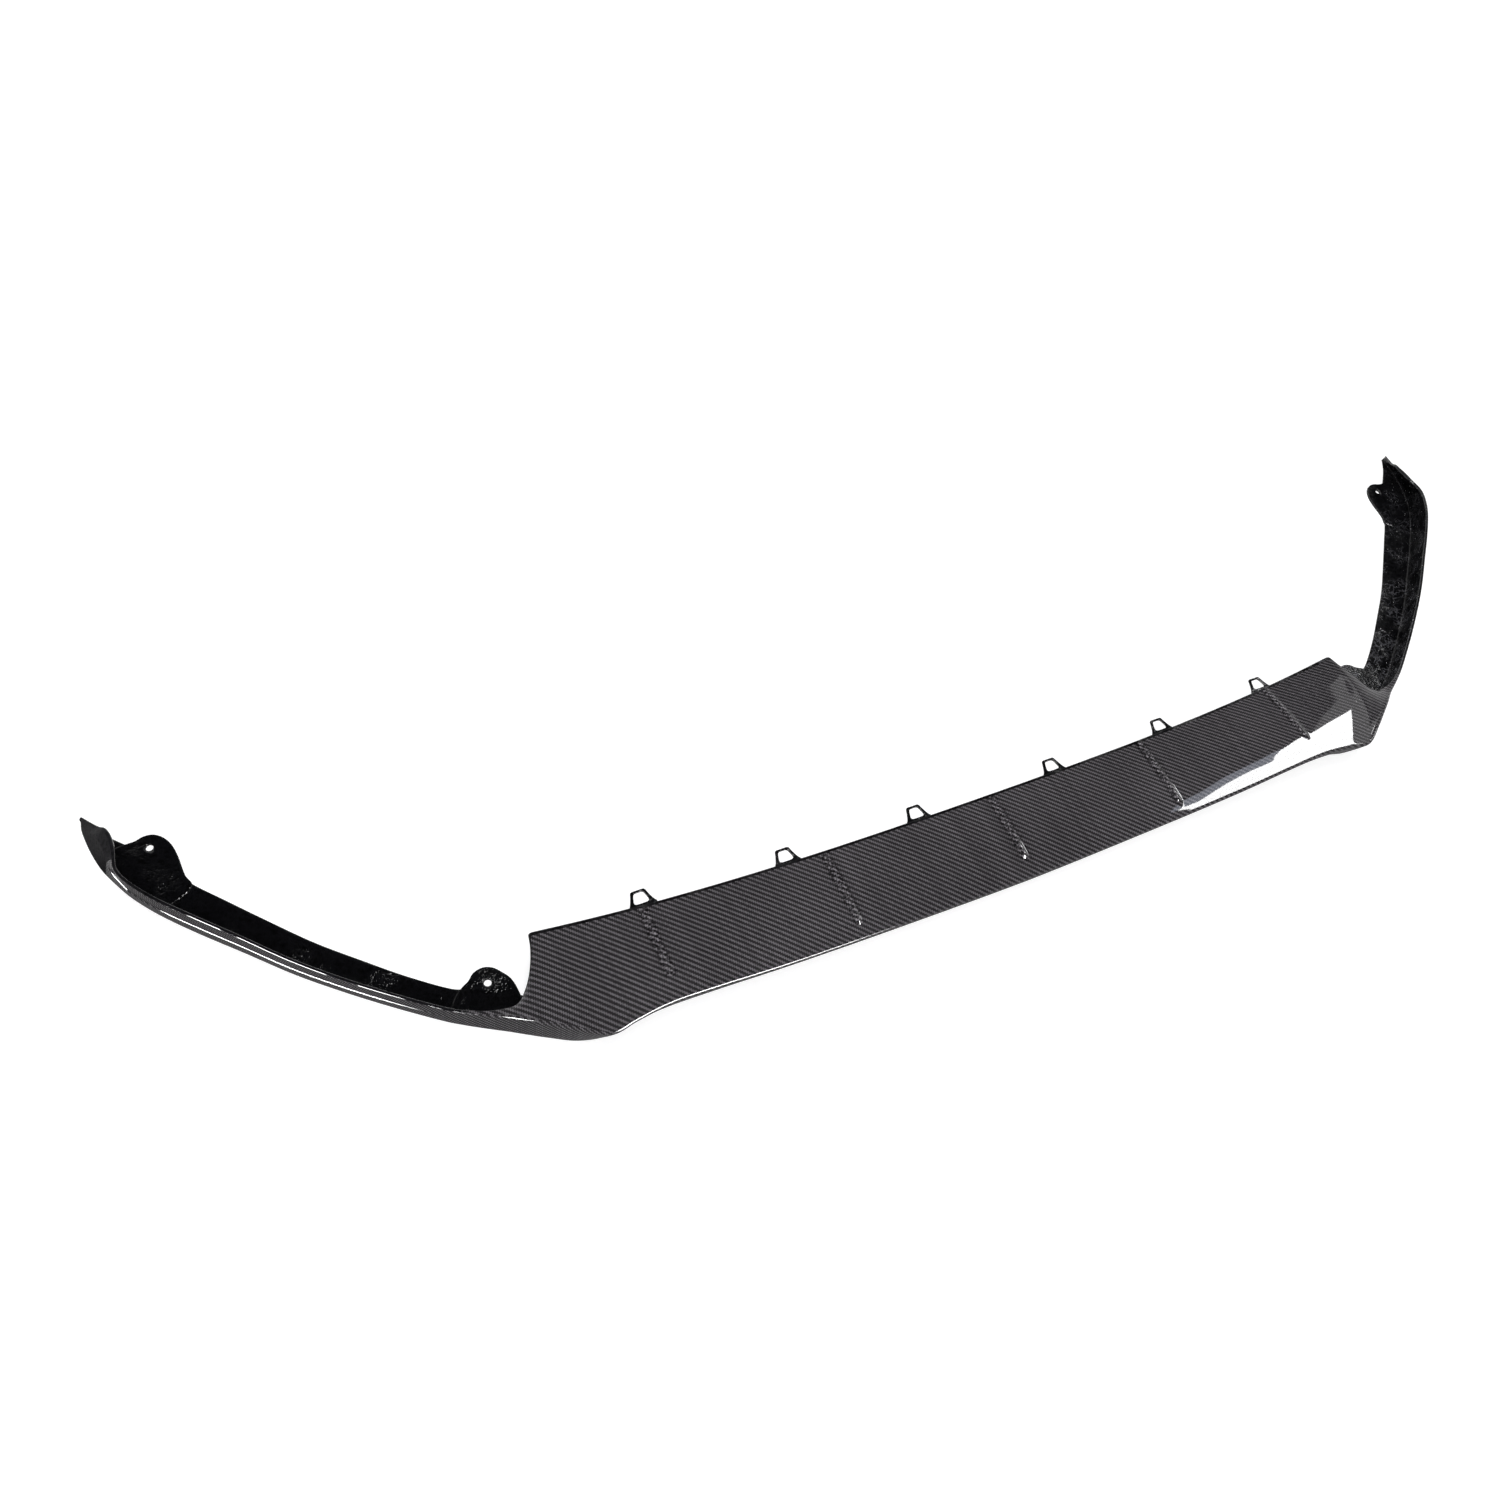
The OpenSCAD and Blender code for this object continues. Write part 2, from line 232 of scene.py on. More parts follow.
def face_mid(u):
    if u > CREASE:
        return open_curve(CREASE_ROWS, u - CREASE)
    return mix(foot(u), crest(u), 0.5) - inward(u) * FACE_BULGE * (1 - ramp(u, 0, NOTCH))


def crown(u, s):
    width = (deck_edge(u) - crest(u)).length
    return UP * (4 * s * (1 - s) * DECK_CROWN * min(1, width / DECK_D))


def bend(a, c, b, count):
    out = []
    for k in range(count):
        f = k / (count - 1)
        out.append(a * (1 - f) ** 2 + c * 2 * f * (1 - f) + b * f ** 2)
    return out


def bowed(a, m, b, crease):
    """Points from a to b through m: one smooth bow, or with crease a corner at m."""
    out = []
    control = 2 * m - (a + b) / 2
    for f in FACE_SHARES:
        smooth = a * (1 - f) ** 2 + control * 2 * f * (1 - f) + b * f ** 2
        straight = mix(a, m, 2 * f) if f < 0.5 else mix(m, b, 2 * f - 1)
        out.append(mix(smooth, straight, crease))
    return out


def fold_drop(p):
    """How far the deck lies lower beyond the fold at its outer corner."""
    along = (FOLD_TO - FOLD_FROM).normalized()
    d = (abs(p.x) - FOLD_FROM.x) * along.y - (p.y - FOLD_FROM.y) * along.x
    return FOLD_DEPTH * min(ramp(d, 0, FOLD_DEEPEST), 1 - ramp(d, FOLD_DEEPEST, FOLD_END))


def rib_rise(x, u, s, sizes):
    """Height of the ribs over the deck at share s of station u."""
    h = 0.0
    for at, reach in RIBS:
        line = mix(deck_edge(at), crest(at), s)
        cap = sizes.rib_end / MM / (deck_edge(at) - crest(at)).length
        f = (s - reach + cap) / cap
        if f >= 1:
            continue
        g = math.sqrt(1 - f * f) if f > 0 else 1.0
        half = mix(sizes.rib_foot_w, sizes.rib_front_w, s / reach) / MM / 2 * (0.35 + 0.65 * g)
        across = abs(abs(x) - line.x) / half
        if across < 1:
            top = mix(sizes.rib_h_rear, sizes.rib_h, (s / reach) ** RIB_SWELL) / MM
            uneven = 1 + RIB_UNEVEN * noise.noise(Vector((x, s * DECK_D, at)) / RIB_GRAIN)
            roof, round_top = 1 - across, 0.5 + 0.5 * math.cos(math.pi * across)
            h += top * g * uneven * mix(roof, round_top, 0.15)
    return h


def rib_cover(x, u, y):
    """How far a point of the deck lies on a rib: one on its ridge, nothing beside it."""
    cover = 0.0
    for at, reach in RIBS:
        back, front = deck_edge(at), crest(at)
        s = (y - back.y) / (front.y - back.y)
        off = abs(abs(x) - mix(back, front, s).x)
        if u < CORNER and s < reach:
            cover = max(cover, 1 - off / RIB_OFFSETS[-1])
    return max(0.0, cover)


def outer_line(u, sizes):
    """The moulded side, from the deck edge over the nose down to the flange edge."""
    d, c, b, m, e = deck_edge(u), crest(u), foot(u), face_mid(u), flange_edge(u)
    n, width = inward(u), (d - c).length
    roll = mix(NOSE_R, RIM_R, ease(ramp(u, NOTCH - 1, NOTCH + 0.5)))
    r = min(roll, 0.45 * width, 0.4 * (c - b).length)
    c1, c2 = c + r * unit(d - c), c + r * unit(m - c)
    start = min(EDGE_R, 0.2 * width) / (d - c1).length
    out = [d - UP * min(EDGE_R, 0.3 * wall_t(u))]
    for k in DECK_SHARES:
        s = mix(start, 1, k)
        p = mix(d, c1, s) + crown(u, s)
        share = s * (d - c1).length / width
        if u < CORNER:
            p.z += rib_rise(p.x, u, share, sizes)
        if u < NOTCH:
            p.z -= fold_drop(p)
        out.append(p)
    b1, b2 = b + FOOT_R * unit(m - b), b + FOOT_R * n
    g = unit(e - b2)
    e1 = e - g * EDGE_R
    out += bend(c1, c, c2, ROLL_POINTS)
    ledge = LEDGE * ramp(u, ARM, ARM + 2) * (1 - ramp(u, CREASE + 1, CREASE + 2))
    for p, share in zip(bowed(c2, m, b1, ramp(u, CREASE, CREASE + 1)), LEDGE_SHARES):
        out.append(p - n * ledge * share)
    out += bend(b1, b, b2, FOOT_POINTS)
    out += [mix(b2, e1, 1 / 3), mix(b2, e1, 2 / 3), e1]
    out.append(e + UP * min(EDGE_R, 0.3 * wall_t(u)))
    return out


def inner_line(u):
    """The open side, from the flange edge up the wall and back under the deck."""
    t, n = wall_t(u), inward(u)
    up = UP * t
    d, c = deck_edge(u) - up, crest(u) + n * t - up
    m, e = face_mid(u) + n * t, flange_edge(u) + up
    b = mix(foot(u), crest(u), t / crest(u).z) + n * t
    f, r = min(FILLET_R, 0.3 * (e - b).length), min(FILLET_R, 0.45 * (d - c).length)
    c1, c2 = c + r * unit(d - c), c + r * unit(m - c)
    b1, b2 = b + f * n, b + f * unit(m - b)
    g = unit(e - b)
    e1 = e - g * EDGE_R
    edge = UP * min(EDGE_R, 0.3 * t)
    out = [e - edge, e1, mix(e1, b1, 0.4), mix(e1, b1, 0.8)]
    out += bend(b1, b, b2, FILLET_POINTS)
    out += bowed(b2, m, c2, ramp(u, CREASE, CREASE + 1))
    out += bend(c2, c, c1, FILLET_POINTS)
    for k in reversed(DECK_SHARES):
        out.append(mix(d, c1, k) + crown(u, k))
    out.append(d + edge)
    return out


OUTER_END = 2 + len(DECK_SHARES) + ROLL_POINTS + len(FACE_SHARES) + FOOT_POINTS + 3
DECK_END = 1 + len(DECK_SHARES)
INNER_FIRST = OUTER_END


def lump(p, sizes):
    """Uneven resin on the open side, as a smooth rise and fall of the surface."""
    grain = Vector((p.x, p.y, p.z * 0.5)) / (sizes.lump_l / MM)
    return noise.noise(grain) * sizes.lump_h / MM


def half_stations():
    """Stations of the right half, with closer ones over each rib."""
    base = []
    for first, last, count in SPANS:
        base += [mix(first, last, k / count) for k in range(count)]
    base.append(LAST)

    def mid_x(u):
        return mix(deck_edge(u), crest(u), 0.5).x

    ribs = []
    for at, _reach in RIBS:
        slope = (mid_x(at + NEAR) - mid_x(max(0, at - NEAR))) / (2 * NEAR if at else NEAR)
        base = [u for u in base if abs(mid_x(u) - mid_x(at)) > RIB_CLEAR or u > CORNER]
        ribs.append(at)
        for off in RIB_OFFSETS:
            ribs.append(at + off / slope)
            if at:
                ribs.append(at - off / slope)
    return sorted(base + ribs)


# Mesh helpers ---------------------------------------------------------------


def mirrored(p, side):
    return Vector((p.x * side, p.y, p.z))


def finish_piece(name, bm, materials, smooth=True):
    """Turns the bmesh into a piece that rides on the lip's body."""
    mesh = bpy.data.meshes.new(name)
    bm.to_mesh(mesh)
    bm.free()
    for material in materials:
        mesh.materials.append(material)
    mesh.polygons.foreach_set("use_smooth", [smooth] * len(mesh.polygons))
    piece = bpy.data.objects.new(name, mesh)
    bpy.context.scene.collection.objects.link(piece)
    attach(piece, BODY)
    return piece


def ring_of(bm, points):
    """A closed ring of edges through the points, in order."""
    made = bmesh.ops.create_circle(bm, segments=len(points), radius=1)["verts"]
    start = made[0]
    ring, last = [start], None
    while len(ring) < len(points):
        for e in ring[-1].link_edges:
            other = e.other_vert(ring[-1])
            if other is not last and other not in ring[-2:]:
                last = ring[-1]
                ring.append(other)
                break
    for v, p in zip(ring, points):
        v.co = p * MM
    return ring


def ring_edges(bm, ring):
    return [bm.edges.get((ring[k], ring[(k + 1) % len(ring)])) for k in range(len(ring))]


def draw_on(bm, ring, points):
    """Extrudes the ring to a new one through the points and returns that one."""
    made = bmesh.ops.extrude_edge_only(bm, edges=ring_edges(bm, ring))["geom"]
    fresh = {v for v in made if isinstance(v, bmesh.types.BMVert)}
    out = []
    for v, p in zip(ring, points):
        other = next(w for e in v.link_edges for w in (e.other_vert(v),) if w in fresh)
        other.co = p * MM
        out.append(other)
    return out


# Materials ------------------------------------------------------------------


class Graph:
    """Short calls for the nodes of one tree."""

    def __init__(self, tree):
        self.tree = tree

    def node(self, kind, **settings):
        n = self.tree.nodes.new(kind)
        for key, value in settings.items():
            setattr(n, key, value)
        return n

    def link(self, a, b):
        self.tree.links.new(a, b)

    def feed(self, socket, value):
        if isinstance(value, bpy.types.NodeSocket):
            self.link(value, socket)
        else:
            socket.default_value = value

    def math(self, operation, a, b=0.0, c=0.0, clamp=False):
        n = self.node("ShaderNodeMath", operation=operation, use_clamp=clamp)
        for socket, value in zip(n.inputs, (a, b, c)):
            self.feed(socket, value)
        return n.outputs[0]

    def noise(self, vector, scale, detail=2.0, rough=0.5, dimensions="3D"):
        n = self.node("ShaderNodeTexNoise", noise_dimensions=dimensions)
        self.feed(n.inputs["Vector"], vector)
        n.inputs["Scale"].default_value = scale
        n.inputs["Detail"].default_value = detail
        n.inputs["Roughness"].default_value = rough
        return n.outputs["Fac"]

    def span(self, value, low, high, to_low=0.0, to_high=1.0):
        n = self.node("ShaderNodeMapRange")
        for key, v in (("Value", value), ("From Min", low), ("From Max", high),
                       ("To Min", to_low), ("To Max", to_high)):
            self.feed(n.inputs[key], v)
        return n.outputs[0]

    def blend(self, factor, a, b):
        n = self.node("ShaderNodeMix", data_type="RGBA")
        self.feed(n.inputs[0], factor)
        self.feed(n.inputs[6], a)
        self.feed(n.inputs[7], b)
        return n.outputs[2]

    def bump(self, height, distance, strength=1.0, normal=None):
        n = self.node("ShaderNodeBump")
        n.inputs["Strength"].default_value = strength
        n.inputs["Distance"].default_value = distance
        self.link(height, n.inputs["Height"])
        if normal is not None:
            self.link(normal, n.inputs["Normal"])
        return n.outputs[0]


def new_group(name, inputs, outputs):
    tree = bpy.data.node_groups.new(name, "ShaderNodeTree")
    for label, kind, default in inputs:
        s = tree.interface.new_socket(label, in_out="INPUT", socket_type=kind)
        if default is not None:
            s.default_value = default
    for label, kind in outputs:
        tree.interface.new_socket(label, in_out="OUTPUT", socket_type=kind)
    g = Graph(tree)
    return tree, g, g.node("NodeGroupInput"), g.node("NodeGroupOutput")


def twill_group():
    """Two-over-two twill: which tow lies on top, its height and its tone."""
    tree, g, given, put = new_group(
        "Twill weave",
        [("Vector", "NodeSocketVector", None), ("Tow width", "NodeSocketFloat", 0.00173)],
        [("Warp", "NodeSocketFloat"), ("Height", "NodeSocketFloat"), ("Tone", "NodeSocketFloat")],
    )
    split = g.node("ShaderNodeSeparateXYZ")
    g.link(given.outputs["Vector"], split.inputs[0])
    width = given.outputs["Tow width"]
    u = g.math("DIVIDE", split.outputs["X"], width)
    v = g.math("DIVIDE", split.outputs["Y"], width)
    cell_u, cell_v = g.math("FLOOR", u), g.math("FLOOR", v)
    in_u, in_v = g.math("SUBTRACT", u, cell_u), g.math("SUBTRACT", v, cell_v)
    k = g.math("FLOORED_MODULO", g.math("SUBTRACT", cell_u, cell_v), 4.0)
    warp = g.math("LESS_THAN", k, 1.5)
    weft = g.math("SUBTRACT", 1.0, warp)
    along_warp = g.math("MULTIPLY", g.math("ADD", in_v, g.math("SUBTRACT", 1.0, k)), 0.5)
    along_weft = g.math("MULTIPLY", g.math("ADD", in_u, g.math("SUBTRACT", k, 2.0)), 0.5)
    along = g.math("ADD", g.math("MULTIPLY", warp, along_warp),
                   g.math("MULTIPLY", weft, along_weft))
    across = g.math("ADD", g.math("MULTIPLY", warp, in_u), g.math("MULTIPLY", weft, in_v))
    hump = g.math("POWER", g.math("SINE", g.math("MULTIPLY", along, math.pi)), 0.5)
    side = g.math("SUBTRACT", 1.0, g.math("POWER", g.math("ABSOLUTE", g.math(
        "SUBTRACT", g.math("MULTIPLY", across, 2.0), 1.0)), 4.0))
    height = g.math("MULTIPLY", hump, side)
    lane = g.node("ShaderNodeCombineXYZ")
    g.link(g.math("MULTIPLY", warp, cell_u), lane.inputs[0])
    g.link(g.math("MULTIPLY", weft, cell_v), lane.inputs[1])
    g.link(warp, lane.inputs[2])
    tow = g.node("ShaderNodeTexWhiteNoise", noise_dimensions="3D")
    g.link(lane.outputs[0], tow.inputs["Vector"])
    fibre = g.node("ShaderNodeCombineXYZ")
    g.link(g.math("MULTIPLY", across, 9.0), fibre.inputs[0])
    g.link(g.math("MULTIPLY", g.math("ADD", u, v), 0.35), fibre.inputs[1])
    g.link(g.math("ADD", cell_u, g.math("MULTIPLY", cell_v, 7.0)), fibre.inputs[2])
    streak = g.noise(fibre.outputs[0], 1.0, 1.0)
    tone = g.math("ADD", g.math("MULTIPLY", tow.outputs["Value"], 0.35),
                  g.math("MULTIPLY", streak, 0.65))
    g.link(warp, put.inputs["Warp"])
    g.link(height, put.inputs["Height"])
    g.link(tone, put.inputs["Tone"])
    return tree


def resin_group():
    """Slow unevenness of hand-laid resin: lumps, wrinkles and a mottled tone."""
    tree, g, given, put = new_group(
        "Uneven resin",
        [("Vector", "NodeSocketVector", None), ("Scale", "NodeSocketFloat", 60.0)],
        [("Height", "NodeSocketFloat"), ("Mottle", "NodeSocketFloat")],
    )
    place = g.node("ShaderNodeVectorMath", operation="SCALE")
    g.link(given.outputs["Vector"], place.inputs[0])
    g.link(given.outputs["Scale"], place.inputs["Scale"])
    at = place.outputs[0]
    slow = g.noise(at, 1.0, 2.0)
    swirl_and_painted_reflection = g.noise(at, 3.1, 3.0, 0.6)
    ridge = g.math("ABSOLUTE", g.math("SUBTRACT", g.math("MULTIPLY", swirl_and_painted_reflection, 2.0), 1.0))
    fine = g.noise(at, 9.0, 2.0)
    patch = g.span(g.noise(at, 0.45, 2.0), 0.48, 0.62, 0.35, 1.6)
    height = g.math("ADD", slow, g.math("MULTIPLY", patch, g.math(
        "ADD", g.math("MULTIPLY", ridge, -0.35), g.math("MULTIPLY", fine, 0.12))))
    mottle = g.span(ridge, 0.0, 0.35, 1.0, 0.0)
    g.link(height, put.inputs["Height"])
    g.link(mottle, put.inputs["Mottle"])
    return tree


def place_group(g, tree, **values):
    n = g.node("ShaderNodeGroup")
    n.node_tree = tree
    for label, value in values.items():
        g.feed(n.inputs[label.replace("_", " ")], value)
    return n


def new_material(name):
    made = bpy.data.materials.new(name)
    made.use_nodes = True
    tree = made.node_tree
    tree.nodes.clear()
    g = Graph(tree)
    shader = g.node("ShaderNodeBsdfPrincipled")
    g.link(shader.outputs[0], g.node("ShaderNodeOutputMaterial").inputs[0])
    return made, g, shader


def top_coat(g, shader, on_sides, cover=1.0):
    """A clear coat that is full on top and thin on the upright sides."""
    facing = g.node("ShaderNodeSeparateXYZ")
    g.link(g.node("ShaderNodeNewGeometry").outputs["Normal"], facing.inputs[0])
    weight = g.span(facing.outputs["Z"], 0.3, 0.75, on_sides, 1.0)
    g.link(g.math("MULTIPLY", weight, cover), shader.inputs["Coat Weight"])
    shader.inputs["Coat Roughness"].default_value = 0.03
    shader.inputs["Coat IOR"].default_value = 1.5


def gloss_twill(finish):
    """Twill under a clear gloss coat, with painted highlights and shade on the ribs."""
    made, g, shader = new_material("gloss_twill")
    uv = g.node("ShaderNodeUVMap", uv_map="weave").outputs[0]
    twill = place_group(g, bpy.data.node_groups["Twill weave"], Vector=uv,
                        Tow_width=finish.tow_w)
    place = g.node("ShaderNodeTexCoord").outputs["Object"]
    resin = place_group(g, bpy.data.node_groups["Uneven resin"], Vector=place, Scale=22.0)
    light = g.blend(twill.outputs["Tone"], (*finish.warp_dark, 1), (*finish.warp_light, 1))
    dark = g.blend(twill.outputs["Tone"], (*finish.weft_dark, 1), (*finish.weft_light, 1))
    colour = g.blend(twill.outputs["Warp"], dark, light)
    shade = g.span(twill.outputs["Height"], 0.0, 0.8, 0.35, 1.0)
    lit = g.node("ShaderNodeMix", data_type="RGBA", blend_type="MULTIPLY")
    lit.inputs[0].default_value = 1.0
    g.link(colour, lit.inputs[6])
    g.link(shade, lit.inputs[7])
    # On the ribs the colour is painted light: light and dark specks stand in for the room mirrored in
    # their uneven coat, and a painted shade darkens both sides of each rib.
    rib = g.node("ShaderNodeAttribute", attribute_name="rib").outputs["Fac"]
    mottle = g.span(g.noise(place, 420.0, 2.0), 0.4, 0.62, -0.75, 1.3)
    mottle = g.math("MULTIPLY", mottle, g.span(rib, 0.1, 0.6))
    painted_rib_side_shade = g.math("MULTIPLY", g.span(rib, 0.0, 0.3), g.span(rib, 0.35, 0.75, 1.0, 0.0))
    mottle = g.math("SUBTRACT", mottle, g.math("MULTIPLY", painted_rib_side_shade, 0.45))
    cloud_and_painted_rib_light = g.math("ADD", g.span(g.noise(place, 9.0, 2.0), 0.3, 0.7, 0.86, 1.1), mottle)
    soft = g.node("ShaderNodeMix", data_type="RGBA", blend_type="MULTIPLY")
    soft.inputs[0].default_value = 1.0
    g.link(lit.outputs[2], soft.inputs[6])
    g.link(cloud_and_painted_rib_light, soft.inputs[7])
    g.link(soft.outputs[2], shader.inputs["Base Color"])
    rough = g.span(twill.outputs["Tone"], 0.0, 1.0, 0.34, 0.5)
    g.link(rough, shader.inputs["Roughness"])
    shader.inputs["Specular IOR Level"].default_value = 0.0
    top_coat(g, shader, 0.12)
    weave = g.bump(twill.outputs["Height"], 0.00012, 0.6)
    g.link(g.bump(resin.outputs["Height"], 0.0003, 0.3, weave), shader.inputs["Normal"])
    return made


def plain_gloss(finish):
    """The fins, without the weave: a plain dark tone under a thin coat."""
    made, g, shader = new_material("plain_gloss")
    place = g.node("ShaderNodeTexCoord").outputs["Object"]
    resin = place_group(g, bpy.data.node_groups["Uneven resin"], Vector=place, Scale=60.0)
    colour = g.blend(resin.outputs["Mottle"], (*finish.plain_dark, 1), (*finish.plain_light, 1))
    g.link(colour, shader.inputs["Base Color"])
    shader.inputs["Roughness"].default_value = 0.35
    shader.inputs["Specular IOR Level"].default_value = 0.0
    top_coat(g, shader, 0.1, 0.2)
    g.link(g.bump(resin.outputs["Height"], 0.002, 0.4), shader.inputs["Normal"])
    return made


def rim_gloss(finish):
    """Top of the arms, where the clear coat runs out here and there."""
    made, g, shader = new_material("rim_gloss")
    place = g.node("ShaderNodeTexCoord").outputs["Object"]
    tone = g.noise(place, 90.0, 2.0)
    colour = g.blend(tone, (*finish.resin_dark, 1), (*finish.plain_light, 1))
    g.link(colour, shader.inputs["Base Color"])
    shader.inputs["Roughness"].default_value = 0.4
    shader.inputs["Specular IOR Level"].default_value = 0.0
    top_coat(g, shader, 0.2, g.span(g.noise(place, 26.0, 1.0), 0.44, 0.47))
    return made


def black_resin(finish):
    """Bare black resin on the open side, glossy and uneven; in the right arm towards the front ear,
    grey swirls are a painted reflection and pale specks are painted glints.
    """
    made, g, shader = new_material("black_resin")
    place = g.node("ShaderNodeTexCoord").outputs["Object"]
    resin = place_group(g, bpy.data.node_groups["Uneven resin"], Vector=place, Scale=55.0)
    plain = g.blend(resin.outputs["Mottle"], (*finish.resin_dark, 1), (*finish.resin_light, 1))
    split = g.node("ShaderNodeSeparateXYZ")
    g.link(place, split.inputs[0])
    # Painted light inside the right arm, towards the front ear: grey swirls stand in for the room
    # mirrored in the resin, pale specks for glints of the lamps.
    right = g.span(split.outputs["X"], 0.3, 0.55)
    towards_ear = g.span(split.outputs["Y"], 0.09, 0.3, 1.0, 0.25)
    swirl_and_painted_reflection = g.math("ABSOLUTE", g.math("SUBTRACT", g.noise(place, 120.0, 2.0, 0.6), 0.5))
    swirl_and_painted_reflection = g.math("MULTIPLY", g.span(swirl_and_painted_reflection, 0.0, 0.06, 1.0, 0.0), g.span(
        g.noise(place, 45.0, 1.0), 0.42, 0.55))
    swirl_and_painted_reflection = g.math("MULTIPLY", swirl_and_painted_reflection, g.math("MULTIPLY", right, towards_ear))
    painted_swirl_reflection = g.blend(swirl_and_painted_reflection, plain, (*finish.swirl_and_painted_reflection, 1))
    painted_glint = g.math("MULTIPLY", g.span(g.noise(place, 400.0, 0.0), 0.8, 0.83), g.math(
        "MULTIPLY", right, towards_ear))
    colour = g.blend(painted_glint, painted_swirl_reflection, (0.5, 0.5, 0.5, 1))
    g.link(colour, shader.inputs["Base Color"])
    rough = g.span(g.noise(place, 40.0, 2.0), 0.3, 0.7, 0.05, 0.14)
    g.link(rough, shader.inputs["Roughness"])
    shader.inputs["Specular IOR Level"].default_value = 0.3
    g.link(g.bump(resin.outputs["Height"], 0.004, 0.6), shader.inputs["Normal"])
    return made


# Settings -------------------------------------------------------------------


class LipSizes(PropertyGroup):
    rib_h: FloatProperty(
        name="Rib height", description="Height of a rib above the deck at its front end",
        default=0.0021, min=0.001, max=0.008, unit="LENGTH")
    rib_h_rear: FloatProperty(
        name="Rib height behind", description="Height of a rib above the deck at the rear edge",
        default=0.0007, min=0.0002, max=0.004, unit="LENGTH")
    rib_foot_w: FloatProperty(
        name="Rib width behind", description="Width of a rib at the rear edge",
        default=0.0124, min=0.004, max=0.014, unit="LENGTH")
    rib_front_w: FloatProperty(
        name="Rib width in front", description="Width of a rib at its front end",
        default=0.0092, min=0.004, max=0.014, unit="LENGTH")
    rib_end: FloatProperty(
        name="Rib end", description="Length over which the front end of a rib rounds off",
        default=0.007, min=0.002, max=0.012, unit="LENGTH")
    lump_h: FloatProperty(
        name="Lump height", description="Rise and fall of the resin on the open side",
        default=0.0006, min=0, max=0.001, unit="LENGTH")
    lump_l: FloatProperty(
        name="Lump length", description="Length of the lumps on the open side",
        default=0.026, min=0.01, max=0.08, unit="LENGTH")
    smooth_steps: IntProperty(
        name="Smoothing", description="Subdivision steps of the shell", default=1, min=0, max=2)


class LipFinish(PropertyGroup):
    tow_w: FloatProperty(
        name="Tow width", description="Width of one tow of the twill",
        default=0.00173, min=0.001, max=0.004, precision=5, unit="LENGTH")
    warp_light: FloatVectorProperty(
        name="Warp, light", description="Lightest tone of the warp tows",
        default=(0.185, 0.175, 0.188), subtype="COLOR")
    warp_dark: FloatVectorProperty(
        name="Warp, dark", description="Darkest tone of the warp tows",
        default=(0.066, 0.062, 0.068), subtype="COLOR")
    weft_light: FloatVectorProperty(
        name="Weft, light", description="Lightest tone of the weft tows",
        default=(0.036, 0.034, 0.037), subtype="COLOR")
    weft_dark: FloatVectorProperty(
        name="Weft, dark", description="Darkest tone of the weft tows",
        default=(0.013, 0.0125, 0.0135), subtype="COLOR")
    plain_light: FloatVectorProperty(
        name="Fin, light", description="Lighter tone of the plain fins",
        default=(0.016, 0.0155, 0.018), subtype="COLOR")
    plain_dark: FloatVectorProperty(
        name="Fin, dark", description="Darker tone of the plain fins",
        default=(0.008, 0.0078, 0.009), subtype="COLOR")
    resin_light: FloatVectorProperty(
        name="Resin, light", description="Tone of the wrinkles in the resin",
        default=(0.004, 0.004, 0.005), subtype="COLOR")
    resin_dark: FloatVectorProperty(
        name="Resin, dark", description="Tone of the plain resin",
        default=(0.0012, 0.0012, 0.0014), subtype="COLOR")
    # Colour of the painted reflection in the right arm: the swirls stand in for the room mirrored in
    # the resin, not for the resin's own tone.
    swirl_and_painted_reflection: FloatVectorProperty(
        name="Resin, swirls", description="Tone of the resin swirls inside the right arm",
        default=(0.09, 0.09, 0.1), subtype="COLOR")


class LipStage(PropertyGroup):
    lens: FloatProperty(
        name="Lens", description="Focal length on a 36 mm sensor",
        default=28.8, min=10, max=100)
    overhead_power: FloatProperty(
        name="Overhead softbox", description="Power of the softbox over the nose",
        default=28.0, min=0, unit="POWER")
    fill_power: FloatProperty(
        name="Fill", description="Power of the wide fill lamp",
        default=26.0, min=0, unit="POWER")
    softbox: FloatProperty(
        name="Softbox", description="Brightness of the softbox that the deck mirrors",
        default=22.0, min=0)
    front_power: FloatProperty(
        name="Front strip", description="Power of the strip lamp that the nose edge mirrors",
        default=65.0, min=0, unit="POWER")
    left_power: FloatProperty(
        name="Left strip", description="Power of the strip lamp that the arm's edges mirror",
        default=250.0, min=0, unit="POWER")
    sky: FloatProperty(
        name="Room light", description="Strength of the plain room light",
        default=0.32, min=0, max=2)
    ceiling: FloatProperty(
        name="Dark ceiling", description="Strength of the ceiling that glossy parts mirror",
        default=0.02, min=0, max=2)
    floor_glow: FloatProperty(
        name="Floor white", description="White added to the floor where it is seen",
        default=0.74, min=0, max=1)


# Operators ------------------------------------------------------------------


class LIP_OT_finishes(Operator):
    """Makes the twill and resin materials"""
    bl_idname = "lip.finishes"
    bl_label = "Finishes"

    def execute(self, context):
        finish = context.scene.lip_finish
        twill_group()
        resin_group()
        gloss_twill(finish)
        plain_gloss(finish)
        rim_gloss(finish)
        black_resin(finish)
        return {"FINISHED"}


